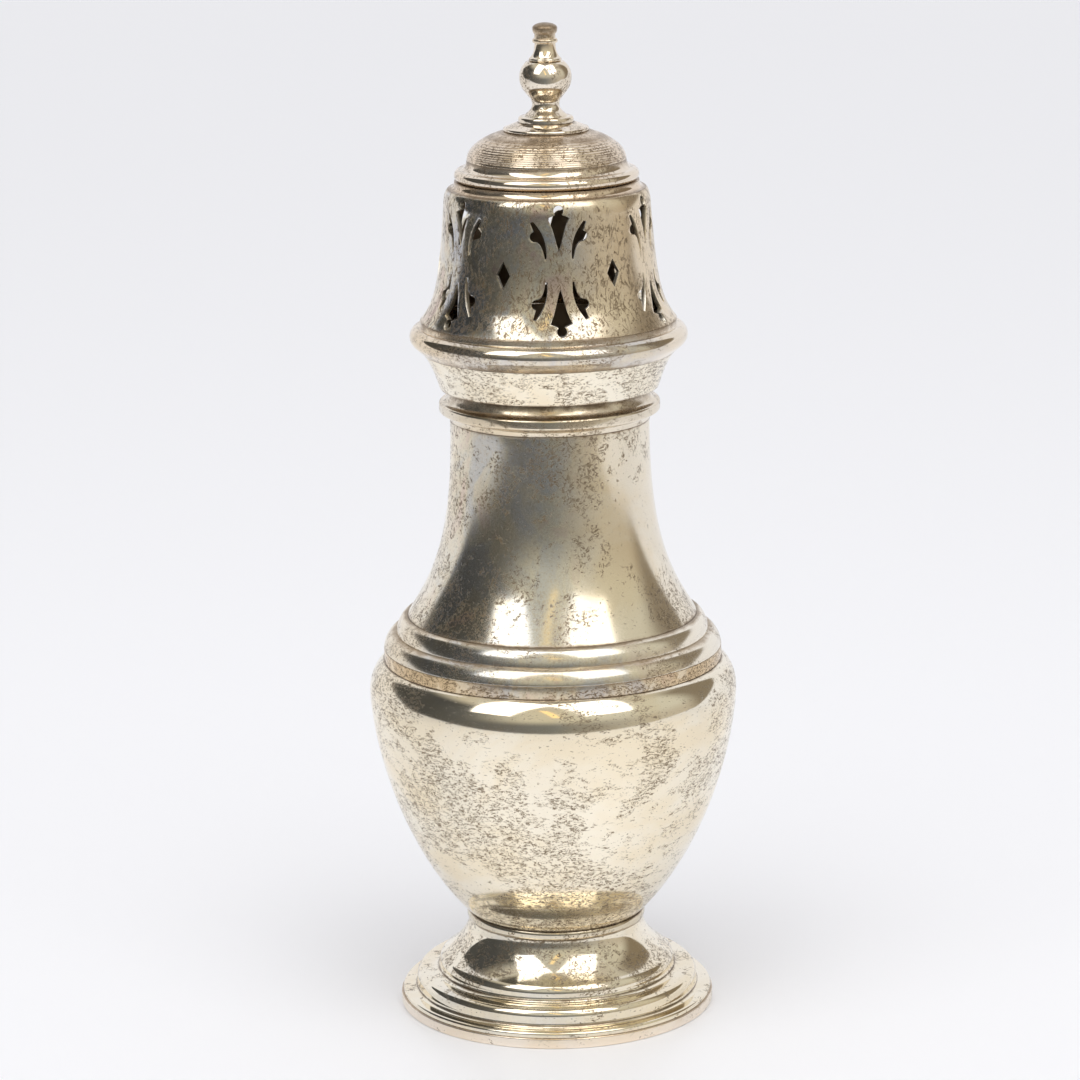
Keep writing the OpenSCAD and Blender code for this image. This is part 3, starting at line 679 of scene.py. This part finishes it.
# rim of the cover
rim = {"out": 2.35, "round": 1.85, "under": 1.05, "top": 1.0, "ledge": 0.4, "bellOut": 0.4, "slope": 50}
roundZ = rimZ + rim["under"] + rim["round"]
bellZ = roundZ + rim["round"] + rim["top"]
bellFoot = skirt["topRadius"] + rim["bellOut"]
section = [(skirt["topRadius"] - sheet, rimZ), (skirt["topRadius"], rimZ)]
section += arcPoints((skirt["topRadius"] + rim["out"] - rim["round"], roundZ), (rim["round"],) * 2,
                     -rim["slope"], 90, 24)
section += [(bellFoot, bellZ), (bellFoot - sheet - rim["ledge"], bellZ)]
shape = latheShape("coverRim", section, reach=0.12)
placePiece(shape, "cover_rim", "cover", wornSilver(
    "rimSilver", rimZ - 0.2, bellZ, (0.85, 0.75, 0.61), specks=0.35, grimeShadeReach=2.1, film=0.4, filmEdge=0.6,
    facing=(0.05, -1.0, 0.0), stretch=(1, 1, 2), core=0.25))

# pierced bell
bell = {"radius": 18.4, "topRadius": 17.5, "height": 23.6, "shoulder": 3.1, "lean": 0.646, "lift": 0.171,
        "topLean": 0.216, "topLift": 0.36, "edgeLean": 0.6, "edgeLift": 0.12, "motifs": 6, "motifTurn": 6,
        "motifRise": 11.7, "cutReach": 25, "cutEase": 0.17, "easeFrom": 50}
capZ = bellZ + bell["height"]
waist = (bell["radius"], capZ - bell["shoulder"])
across, tall = waist[0] - bellFoot, waist[1] - bellZ
side = curvePoints((bellFoot, bellZ), (bellFoot + across * bell["lean"], bellZ + tall * bell["lift"]),
                   (waist[0] - across * bell["topLean"], waist[1] - tall * (1 - bell["topLift"])),
                   waist, 46)
inset = bell["radius"] - bell["topRadius"]
side += curvePoints(waist, (waist[0], waist[1] + bell["shoulder"] / 2),
                    (bell["topRadius"] + inset * bell["edgeLean"],
                     capZ - bell["shoulder"] * bell["edgeLift"]), (bell["topRadius"], capZ), 12)[1:]
shape = latheShape("piercedBell", side + innerFace(side, sheet), turnSteps=192)
bellSilver = wornSilver(
    "bellSilver", bellZ, capZ, (0.93, 0.82, 0.65), specks=0.8, grain=2200.0, patch=60.0, grimeShadeReach=0.7,
    film=0.72, filmEdge=0.52, facing=(-0.52, -0.855, 0.0), filmHaze=0.08, dust=0.36, stretch=(1, 1, 0.5),
    wave=0.2, core=0.6)
placePiece(shape, "pierced_bell", "cover", bellSilver)
dressInside(shape)
bellShape = shape

# outlines cut through the bell, from the middle of a motif
leaf = {"point": 3.2, "shoulder": 9.05, "wide": 1.95, "lobeRadius": 0.88, "lobe": 10.3, "bow": 0.37,
        "near": 0.4, "far": 0.6, "lobeFrom": -50}
sideLeaf = {"root": (2.35, 1.95), "tip": (4.65, 8.5), "lobe": (4.1, 5.85), "lobeRadius": 0.92,
            "near": (-0.08, 1.2), "far": (0.95, 1), "under": (0.45, 0.1), "back": (0.15, 0.7),
            "lobeFrom": 75, "lobeTo": -95, "rootHalf": 0.14, "tipHalf": 0.25, "tipDrop": 0.2}
diamond = {"tall": 2.45, "wide": 1.3, "drop": 1}


def centreLeaf():
    bow = (leaf["shoulder"] - leaf["point"]) * leaf["bow"]
    half = curvePoints((0, leaf["point"]), (leaf["wide"] * leaf["near"], leaf["point"] + bow),
                       (leaf["wide"] * (1 - leaf["far"]), leaf["shoulder"] - bow),
                       (leaf["wide"], leaf["shoulder"]), 14)
    half += arcPoints((0, leaf["lobe"]), (leaf["lobeRadius"],) * 2, leaf["lobeFrom"], 90, 12)
    return half + [(-x, z) for x, z in half[-2:0:-1]]


def curledLeaf():
    root, tip, under, back = (sideLeaf[k] for k in ("root", "tip", "under", "back"))
    bow = (tip[1] - root[1]) / 3
    inner, outer = ((root[0] + hand * sideLeaf["rootHalf"], root[1]) for hand in (-1, 1))
    line = curvePoints(inner,
                       (inner[0] + bow * sideLeaf["near"][0], inner[1] + bow * sideLeaf["near"][1]),
                       (tip[0] - bow * sideLeaf["far"][0], tip[1] - bow * sideLeaf["far"][1]),
                       (tip[0] - sideLeaf["tipHalf"], tip[1]), 14)
    line.append((tip[0] + sideLeaf["tipHalf"], tip[1] - sideLeaf["tipDrop"]))
    line += arcPoints(sideLeaf["lobe"], (sideLeaf["lobeRadius"],) * 2, sideLeaf["lobeFrom"],
                      sideLeaf["lobeTo"], 14)
    end = line[-1]
    line += curvePoints(end, (end[0] - bow * under[0], end[1] - bow * under[1]),
                        (outer[0] + bow * back[0], outer[1] + bow * back[1]), outer, 10)[1:]
    return line


cutEdge = wornSilver("cutEdgeSilver", noCrease, noCrease, (0.97, 0.93, 0.85), specks=0.0, grimeShadeReach=0.3,
                     gloss=0.34)


def cutterFrom(name, outline, drop=0):
    # a flat outline in front of the axis, pulled out through the wall
    middle = bellZ + bell["motifRise"] - drop
    shape = drawOutline(name, [(x, z + middle) for x, z in outline], back=-bell["topRadius"] / 2)
    pickMesh()
    bpy.ops.mesh.edge_face_add()
    bpy.ops.mesh.extrude_region_move(TRANSFORM_OT_translate={"value": (0, -bell["cutReach"] * mm, 0)})
    pickMesh()
    bpy.ops.mesh.normals_make_consistent(inside=False)
    bpy.ops.object.mode_set(mode="OBJECT")
    shape.data.materials.append(cutEdge)
    return shape


def copyAt(shape, angle):
    pick(shape)
    bpy.ops.object.duplicate()
    copy = bpy.context.object
    copy.rotation_euler.z = math.radians(angle)
    bpy.ops.object.transform_apply(location=True, rotation=True, scale=True)
    return copy


def joinAll(shapes):
    pick(*shapes)
    bpy.ops.object.join()
    return shapes[0]


spray = []
for flip in (1, -1):
    spray.append(cutterFrom("leafCutter", [(x, z * flip) for x, z in centreLeaf()]))
    for hand in (1, -1):
        spray.append(cutterFrom("leafCutter", [(x * hand, z * flip) for x, z in curledLeaf()]))
motif = joinAll(spray)
lozenge = cutterFrom("diamondCutter", [(0, -diamond["tall"]), (diamond["wide"], 0),
                                       (0, diamond["tall"]), (-diamond["wide"], 0)], diamond["drop"])
pitch = 360 / bell["motifs"]
cutters = []
for i in range(bell["motifs"]):
    cutters.append(copyAt(motif, bell["motifTurn"] + i * pitch))
    cutters.append(copyAt(lozenge, bell["motifTurn"] + (i + 0.5) * pitch))
cutter = joinAll(cutters)
pick(bellShape)
pierce = bellShape.modifiers.new("piercing", "BOOLEAN")
pierce.operation = "DIFFERENCE"
pierce.solver = "EXACT"
pierce.material_mode = "TRANSFER"
pierce.object = cutter
bpy.ops.object.modifier_apply(modifier=pierce.name)
ease = bellShape.modifiers.new("cutEdges", "BEVEL")
ease.limit_method = "ANGLE"
ease.angle_limit = math.radians(bell["easeFrom"])
ease.width = bell["cutEase"] * mm
ease.segments = 2
ease.material = 2
bpy.ops.object.modifier_apply(modifier=ease.name)
bpy.ops.object.shade_smooth_by_angle(angle=smoothAngle)
pick(motif, lozenge, cutter)
bpy.ops.object.delete()
print("bell pierced:", len(bellShape.data.polygons), "faces")

# cove on the bell
capRing = {"radius": 16.4, "coveRise": 1.3, "ringRise": 2.1, "domeCove": 1.6}
dome = {"radius": 14.15, "height": 5.95, "lines": 10, "linePitch": 0.38, "lineDepth": 0.1,
        "lineFrom": 0.3}
capBore = dome["radius"] - sheet
capRingZ = capZ + capRing["coveRise"]
section = [(capBore, capZ)]
section += arcPoints((bell["topRadius"], capRingZ),
                     (bell["topRadius"] - capRing["radius"], capRing["coveRise"]), 270, 180, 12)
section += [(capBore, capRingZ)]
shape = latheShape("capRing", section, reach=0.08)
placePiece(shape, "cap_ring", "cover", wornSilver(
    "capRingSilver", capZ, capRingZ, (0.80, 0.67, 0.53), specks=0.5, grimeShadeReach=0.9, core=0.4))

# round ring and cove under the dome
ringR = capRing["ringRise"] / 2
coveStart = capRing["radius"] - ringR
domeCoveZ = capRingZ + capRing["ringRise"]
domeZ = domeCoveZ + capRing["domeCove"]
section = [(capBore, capRingZ)]
section += arcPoints((coveStart, capRingZ + ringR), (ringR,) * 2, -90, 90, 18)
section += arcPoints((coveStart, domeZ), (coveStart - dome["radius"], capRing["domeCove"]), 270, 180, 12)
section += [(capBore, domeZ)]
shape = latheShape("domeRing", section, reach=0.08)
placePiece(shape, "dome_ring", "cover", wornSilver(
    "domeRingSilver", noCrease, domeZ, (0.86, 0.76, 0.63), specks=0.5, grimeShadeReach=2.2, core=0.5))

# dome with turned lines low on its wall
plate = {"radius": 7.6, "topRadius": 4.9, "edge": 0.6, "rise": 1.0, "bore": 1.5}
flatA = math.degrees(math.acos(plate["radius"] / dome["radius"]))
plateZ = domeZ + dome["height"] * math.sin(math.radians(flatA))
wall = []
for x, z in arcPoints((0, domeZ), (dome["radius"], dome["height"]), 0, flatA, 130):
    along = (z - domeZ - dome["lineFrom"]) / dome["linePitch"]
    if 0 < along < dome["lines"]:
        x -= dome["lineDepth"] * (0.5 - 0.5 * math.cos(2 * math.pi * along)) ** 2
    wall.append((x, z))
innerR = dome["radius"] - sheet
innerH = (plateZ - sheet - domeZ) / math.sqrt(1 - (plate["radius"] / innerR) ** 2)
wall += [(plate["bore"], plateZ), (plate["bore"], plateZ - sheet)]
innerA = math.degrees(math.acos(plate["radius"] / innerR))
wall += arcPoints((0, domeZ), (innerR, innerH), innerA, 0, 12)
shape = latheShape("dome", wall, reach=0.05)
placePiece(shape, "dome", "cover", wornSilver(
    "domeSilver", noCrease, plateZ, (0.84, 0.72, 0.58), specks=1.0, grain=2000.0, patch=110.0, grimeShadeReach=1.8,
    creases=(noCrease, domeZ + dome["height"] * 0.7), stretch=(1, 1, 1.6), gloss=0.05, core=0.3))
dressInside(shape)

# plate under the finial
finialZ = plateZ + plate["edge"] + plate["rise"]
section = [(plate["bore"], plateZ), (plate["radius"], plateZ), (plate["radius"], plateZ + plate["edge"]),
           (plate["topRadius"], finialZ), (plate["bore"], finialZ)]
shape = latheShape("finialPlate", section, reach=0.26)
placePiece(shape, "finial_plate", "cover", wornSilver(
    "plateSilver", plateZ, finialZ, (0.89, 0.80, 0.68), specks=0.55, patch=140.0, grimeShadeReach=0.5))

# turned finial
finial = {"baseEdge": 1.0, "neckRadius": 2.4, "flare": 2.1, "ball": 4.64, "ballRise": 4.75,
          "crown": 3.95, "ledge": 0.45, "collar": 2.9, "collarRise": 0.7, "tipNeck": 1.85,
          "tipRise": 2.5, "tipRing": 2.25, "ringRise": 0.9, "groove": 0.75, "button": 2.2,
          "buttonRise": 1.95, "flareSpread": 1.375, "flareLow": 0.35, "flareHigh": 0.5, "ballLow": 0.3,
          "ballHigh": 0.55, "tipLean": 0.5, "tipLow": 0.14, "tipHigh": 0.45, "collarEnd": 50}
baseR = finial["baseEdge"] / 2
baseTop = (plate["topRadius"] - finial["baseEdge"], finialZ + finial["baseEdge"])
lowNeck = (finial["neckRadius"], baseTop[1] + finial["flare"])
ballZ = lowNeck[1] + finial["ballRise"]
collarA = math.degrees(math.acos((finial["collar"] + finial["ledge"]) / finial["ball"]))
collarR = finial["collarRise"] / 2
collarZ = ballZ + finial["crown"] * math.sin(math.radians(collarA))
collar = arcPoints((finial["collar"] - collarR, collarZ + collarR), (collarR,) * 2, -90,
                   finial["collarEnd"], 14)
tipZ = collarZ + finial["collarRise"] + finial["tipRise"]
start = collar[-1]
tipX, tipUp = finial["tipNeck"] - start[0], tipZ - start[1]
buttonMid = tipZ + finial["ringRise"] + finial["groove"] + finial["buttonRise"] / 2
buttonH = finial["buttonRise"] / 2
section = [(0, plateZ - sheet), (plate["bore"], plateZ - sheet), (plate["bore"], finialZ),
           (plate["topRadius"], finialZ)]
section += arcPoints((plate["topRadius"] - baseR, finialZ + baseR), (baseR,) * 2, 0, 90)
section += curvePoints(baseTop, (finial["neckRadius"] * finial["flareSpread"],
                                 baseTop[1] + finial["flare"] * finial["flareLow"]),
                       (lowNeck[0], lowNeck[1] - finial["flare"] * finial["flareHigh"]), lowNeck, 18)
section += curvePoints(lowNeck, (lowNeck[0], lowNeck[1] + finial["ballRise"] * finial["ballLow"]),
                       (finial["ball"], ballZ - finial["ballRise"] * finial["ballHigh"]),
                       (finial["ball"], ballZ), 24)[1:]
section += arcPoints((0, ballZ), (finial["ball"], finial["crown"]), 0, collarA, 16)[1:]
section += collar
section += curvePoints(start, (start[0] + tipX * finial["tipLean"], start[1] + tipUp * finial["tipLow"]),
                       (finial["tipNeck"], start[1] + tipUp * finial["tipHigh"]),
                       (finial["tipNeck"], tipZ), 16)[1:]
section += arcPoints((finial["tipNeck"], tipZ + finial["ringRise"] / 2),
                     (finial["tipRing"] - finial["tipNeck"], finial["ringRise"] / 2), -90, 90, 14)
buttonUnder = (finial["button"] - finial["tipNeck"], buttonH)
section += arcPoints((finial["tipNeck"], buttonMid), buttonUnder, -90, 0, 10)
section += arcPoints((0, buttonMid), (finial["button"], buttonH), 0, 90, 16)[1:]
shape = latheShape("finial", section, closed=False, reach=0.05, turnSteps=96)
placePiece(shape, "finial", "cover", wornSilver(
    "finialSilver", noCrease, buttonMid + 1.2, (0.86, 0.78, 0.66), specks=0.6, patch=160.0, grimeShadeReach=6.6,
    gloss=0.1, wave=0.2, core=0.5))
print("pieces turned")

# studio: pale table, room beyond its front edge, two tall soft boxes
studio = {"tableFront": -0.30, "wallFront": -1.7, "side": 1.0, "wallLow": 0.8, "top": 1.9, "back": 0.9,
          "sideEdge": ((0.12, 0.04), (0.27, 0.11), (0.75, 0.39), (0.95, 0.60), (0.73, 1.02), (0.3, 1.9)),
          "boxes": (("Left", -42.5, 27), ("Right", 37.5, 31)), "boxRise": (29, 78), "boxFar": 0.75,
          "boxColour": (1.0, 0.985, 0.96), "boxGlow": 2.4, "eye": Vector((0, 0, 0.09)),
          "strip": ((-0.5, 27), (5.5, 27), (-6, 50), (-12, 50)), "stripFar": 0.85,
          "stripColour": (1.0, 0.77, 0.40), "stripGlow": 1.4, "lampRise": 53, "lampFar": 2,
          "lampSpread": 40, "lampEnergy": 0.44, "overhead": (0, -0.3, 0.85), "overheadSize": 0.6,
          "overheadEnergy": 1.75, "sky": (0.885, 0.885, 0.915), "skyLevel": 0.72, "tableSize": 12,
          "tableColour": (0.93, 0.93, 0.94), "tableRough": 0.38}


def glowFinish(name, colour, strength=1.0):
    finish, tree, _ = newFinish(name)
    tree.nodes.clear()
    light = tree.nodes.new("ShaderNodeEmission")
    light.inputs["Color"].default_value = colour + (1,)
    light.inputs["Strength"].default_value = strength
    made = tree.nodes.new("ShaderNodeOutputMaterial")
    tree.links.new(light.outputs[0], made.inputs["Surface"])
    return finish


deselectAll()
bpy.ops.mesh.primitive_plane_add(size=studio["tableSize"])
table = bpy.context.object
table.name = "table"
finish, _, shader = newFinish("tableWhite")
shader.inputs["Base Color"].default_value = studio["tableColour"] + (1,)
shader.inputs["Roughness"].default_value = studio["tableRough"]
table.data.materials.append(finish)


def addCard(name, corners, finish):
    # a flat card pulled to its corners; it shows in the metal and neither to the camera nor on the table
    deselectAll()
    bpy.ops.mesh.primitive_circle_add(vertices=len(corners), radius=1, fill_type="NGON")
    card = bpy.context.object
    card.name = name
    for vertex, corner in zip(card.data.vertices, corners):
        vertex.co = corner
    card.data.materials.append(finish)
    card.visible_camera = card.visible_diffuse = False
    card.visible_shadow = card.visible_transmission = False


# painted light and shade of the room: tones by the bearing and the rise of each point, as seen from the
# caster
def makeRoomGroup():
    group, given, made = startGroup("roomTones", {"Vector": None}, ("Color",))
    x, y, z = addSplit(group, given["Vector"])
    bearing = addMath(group, "ARCTAN2", x, times(group, y, -1.0))
    far = addMath(group, "SQRT", plus(group, times(group, x, x), times(group, y, y)))
    rise = addMath(group, "ARCTAN2", minus(group, z, studio["eye"].z), far)
    tone = addRamp(group, addRange(group, bearing, -2.5, 2.5, smooth=False),
                   ((0, (0.07, 0.07, 0.068)), (0.2, (0.07, 0.07, 0.068)), (0.33, (0.13, 0.13, 0.125)),
                    (0.42, (0.17, 0.17, 0.168)), (0.5, (0.21, 0.22, 0.22)), (0.58, (0.34, 0.33, 0.30)),
                    (0.7, (0.54, 0.50, 0.42)), (1, (0.55, 0.47, 0.36))))
    lit = times(group, addRange(group, rise, 0.03, 0.38), addRange(group, bearing, -1.1, -0.2))
    tone = addMix(group, lit, tone, (0.65, 0.625, 0.53))
    tone = addMix(group, addRange(group, bearing, 1.5, 1.85), tone, (0.25, 0.21, 0.155))
    tone = addMix(group, addRange(group, rise, 0.7, 1.0), tone, (0.60, 0.565, 0.48))
    tone = addMix(group, addRange(group, rise, 1.15, 1.4), tone, (0.37, 0.335, 0.28))
    group.links.new(tone, made["Color"])
    return group


# the room's cards glow with this painted light and shade; only the metal shows them
roomGlow = glowFinish("roomGlow", (0.3, 0.3, 0.3))
roomTree = roomGlow.node_tree
roomTone = useGroup(roomTree, makeRoomGroup(),
                    Vector=roomTree.nodes.new("ShaderNodeTexCoord").outputs["Object"])
roomTree.links.new(roomTone["Color"], roomTree.nodes["Emission"].inputs["Color"])

sideX = studio["side"]
floorEdge = (studio["tableFront"], 0)
wallFoot = (studio["wallFront"], studio["wallLow"])
wallTop = (studio["wallFront"], studio["top"])
topEnd = (studio["back"], studio["top"])
for name, near, far in (("roomFloor", floorEdge, wallFoot), ("roomWall", wallFoot, wallTop),
                        ("roomTop", wallTop, topEnd)):
    addCard(name, [(-sideX,) + near, (sideX,) + near, (sideX,) + far, (-sideX,) + far], roomGlow)
for hand, name in ((-1, "roomLeft"), (1, "roomRight")):
    edge = (floorEdge,) + studio["sideEdge"] + (wallTop, wallFoot)
    addCard(name, [(hand * sideX, y, z) for y, z in edge], roomGlow)


def bearingPoint(azimuth, rise, far):
    a, e = math.radians(azimuth), math.radians(rise)
    toward = Vector((math.sin(a) * math.cos(e), -math.cos(a) * math.cos(e), math.sin(e)))
    return studio["eye"] + far * toward


# two soft boxes that lean over the caster, and a strip of warm light between them
for name, azimuth, wide in studio["boxes"]:
    rises = studio["boxRise"]
    mid = bearingPoint(azimuth, sum(rises) / 2, studio["boxFar"])
    toward = (mid - studio["eye"]).normalized()
    a, halfWide = math.radians(azimuth), math.radians(wide / 2)
    across = Vector((math.cos(a), math.sin(a), 0)) * studio["boxFar"] * math.tan(halfWide)
    halfRise = math.radians((rises[1] - rises[0]) / 2)
    up = toward.cross(across).normalized() * studio["boxFar"] * math.tan(halfRise)
    addCard("softBox" + name,
            (mid - across - up, mid + across - up, mid + across + up, mid - across + up),
            glowFinish("softBoxGlow" + name, studio["boxColour"], studio["boxGlow"]))
strip = [bearingPoint(a, e, studio["stripFar"]) for a, e in studio["strip"]]
addCard("warmStrip", strip, glowFinish("warmStripGlow", studio["stripColour"], studio["stripGlow"]))
print("studio set")


# lights for the table and the caster's shadow; the metal doesn't show them
def addLamp(kind, name, place, energy):
    bpy.ops.object.light_add(type=kind, location=place)
    lamp = bpy.context.object
    lamp.name = name
    lamp.data.energy = energy
    lamp.rotation_euler = (studio["eye"] - lamp.location).to_track_quat("-Z", "Y").to_euler()
    lamp.visible_glossy = False
    return lamp.data


for name, azimuth, _ in studio["boxes"]:
    spot = bearingPoint(azimuth, studio["lampRise"], studio["lampFar"])
    lamp = addLamp("SUN", "softLight" + name, spot, studio["lampEnergy"])
    lamp.angle = math.radians(studio["lampSpread"])
lamp = addLamp("AREA", "tableLight", studio["overhead"], studio["overheadEnergy"])
lamp.size = studio["overheadSize"]

# white surroundings, dimmer where they only light the table
scene = bpy.context.scene
scene.world = bpy.data.worlds.new("studioWorld")
scene.world.use_nodes = True
tree = scene.world.node_tree
sky = tree.nodes["Background"]
sky.inputs["Color"].default_value = studio["sky"] + (1,)
rays = tree.nodes.new("ShaderNodeLightPath")
seen = larger(tree, rays.outputs["Is Camera Ray"], rays.outputs["Is Glossy Ray"])
seen = larger(tree, seen, rays.outputs["Is Transmission Ray"])
level = addRange(tree, seen, 0.0, 1.0, studio["skyLevel"], 1.0, False)
tree.links.new(level, sky.inputs["Strength"])

# camera fitted to the photograph
camera = {"lens": 134.83, "sensor": 36, "reach": 50, "place": (-0.00204, -0.7106, 0.2560), "tilt": 76.6,
          "turn": -0.775}
camData = bpy.data.cameras.new("camera")
camData.lens = camera["lens"]
camData.sensor_width = camera["sensor"]
camData.clip_end = camera["reach"]
cam = bpy.data.objects.new("camera", camData)
scene.collection.objects.link(cam)
cam.location = camera["place"]
cam.rotation_mode = "ZYX"
cam.rotation_euler = (math.radians(camera["tilt"]), 0, math.radians(camera["turn"]))
scene.camera = cam
scene.view_settings.view_transform = "Standard"
